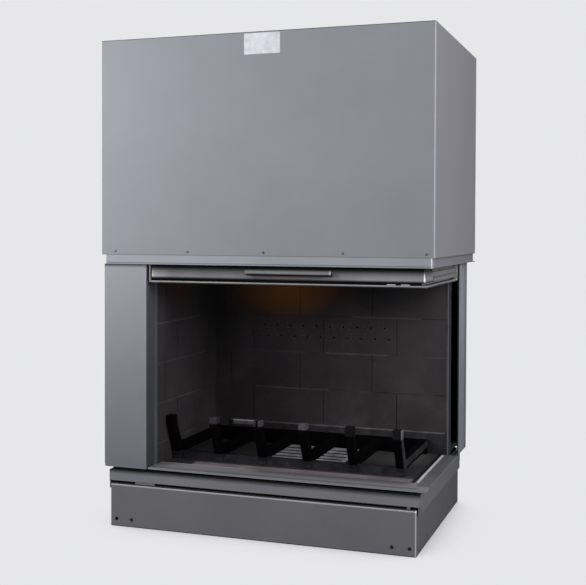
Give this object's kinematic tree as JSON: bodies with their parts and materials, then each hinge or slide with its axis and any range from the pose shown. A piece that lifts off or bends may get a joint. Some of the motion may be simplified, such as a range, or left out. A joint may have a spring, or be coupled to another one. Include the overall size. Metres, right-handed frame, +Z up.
{
  "type": "fireplace firebox",
  "caption": "Corner fireplace insert: boxed upper casing over a brick-lined fire chamber open at the front and right, with a lift-up glass door, a log grate and a flue collar.",
  "frame": {"origin": "on the floor, under the middle of the bounding box", "axes": "+Z up; -Y towards the front of the fireplace; +X towards its open, glazed side"},
  "size_m": [0.95, 0.636, 1.396],
  "materials": {
    "steel_grey": "satin",
    "dark_steel": "matte",
    "bright_steel": "satin",
    "chamotte": "matte",
    "cast_iron": "matte",
    "grate_iron": "satin",
    "glass": "gloss",
    "rope_seal": "matte"
  },
  "bodies": {
    "firebox": {"plinth_front": "steel_grey", "plinth_right": "steel_grey", "plinth_left": "steel_grey", "plinth_rear": "steel_grey", "hearth_frame": "steel_grey", "floor_carrier": "dark_steel", "ash_well": "dark_steel", "threshold_ledge": "steel_grey", "ember_lip": "bright_steel", "hearth_plate_left": "chamotte", "hearth_plate_right": "chamotte", "back_lining_lower": "chamotte", "back_lining_upper": "chamotte", "left_lining_lower": "chamotte", "left_lining_upper": "chamotte", "rear_fire_plate": "dark_steel", "firebox_back": "dark_steel", "firebox_left": "dark_steel", "left_jamb": "steel_grey", "lintel_frame": "dark_steel", "baffle_plate": "chamotte", "smoke_hood": "dark_steel", "flue_collar": "steel_grey", "column_cover": "steel_grey", "rear_cover": "steel_grey", "rear_upright": "dark_steel", "guide_post": "steel_grey", "guide_channel": "bright_steel", "skirt_front": "steel_grey", "skirt_side": "steel_grey", "casing_front": "steel_grey", "casing_right": "steel_grey", "casing_left": "steel_grey", "casing_rear": "steel_grey", "casing_top": "steel_grey", "left_pulley_bracket": "dark_steel", "rear_pulley_bracket": "dark_steel", "left_rope_bend": "bright_steel", "rear_rope_bend": "bright_steel", "left_door_rope": "bright_steel", "rear_door_rope": "bright_steel", "left_weight_rope": "bright_steel", "rear_weight_rope": "bright_steel"},
    "door": {"door_front_frame": "bright_steel", "door_side_frame": "bright_steel", "door_rear_stile": "dark_steel", "door_front_rail": "bright_steel", "door_side_rail": "steel_grey", "front_glass": "glass", "side_glass": "glass", "door_handle": "bright_steel", "door_seal": "rope_seal", "door_carriage": "dark_steel"},
    "left_weight": {"left_counterweight": "cast_iron"},
    "rear_weight": {"rear_counterweight": "cast_iron"},
    "left_wheel": {"left_pulley": "dark_steel"},
    "rear_wheel": {"rear_pulley": "dark_steel"},
    "pan": {"ash_pan": "steel_grey"},
    "fire_grate": {"ash_grate": "grate_iron"},
    "fire_dogs": {"log_grate": "cast_iron"}
  },
  "joints": [
    {"name": "door_lift", "type": "slide", "parent": "firebox", "child": "door", "axis": [0, 0, 1], "range_m": [-0.516, 0], "deforming": ["left_door_rope", "rear_door_rope"]},
    {"name": "left_weight_slide", "type": "slide", "parent": "firebox", "child": "left_weight", "axis": [0, 0, 1], "range_m": [0, 0.516], "deforming": ["left_weight_rope"]},
    {"name": "rear_weight_slide", "type": "slide", "parent": "firebox", "child": "rear_weight", "axis": [0, 0, 1], "range_m": [0, 0.516], "deforming": ["rear_weight_rope"]},
    {"name": "left_pulley_turn", "type": "hinge", "parent": "firebox", "child": "left_wheel", "pos_m": [-0.3783, -0.2738, 1.3267], "axis": [0, 1, 0], "range_deg": [0, 990]},
    {"name": "rear_pulley_turn", "type": "hinge", "parent": "firebox", "child": "rear_wheel", "pos_m": [0.4365, 0.216, 1.3267], "axis": [1, 0, 0], "range_deg": [0, 990]},
    {"name": "ash_pan_lift", "type": "slide", "parent": "firebox", "child": "pan", "axis": [0, 0, 1], "range_m": [0, 0.08]},
    {"name": "ash_grate_lift", "type": "slide", "parent": "pan", "child": "fire_grate", "axis": [0, 0, 1], "range_m": [0, 0.05]},
    {"name": "log_grate_lift", "type": "slide", "parent": "fire_grate", "child": "fire_dogs", "axis": [0, 0, 1], "range_m": [0, 0.1]}
  ],
  "couplings": [
    {"joint": "left_weight_slide", "follows": "door_lift", "ratio": -1},
    {"joint": "rear_weight_slide", "follows": "door_lift", "ratio": -1},
    {"joint": "left_pulley_turn", "follows": "door_lift", "rad_per_m": -33.333},
    {"joint": "rear_pulley_turn", "follows": "door_lift", "rad_per_m": -33.333}
  ]
}
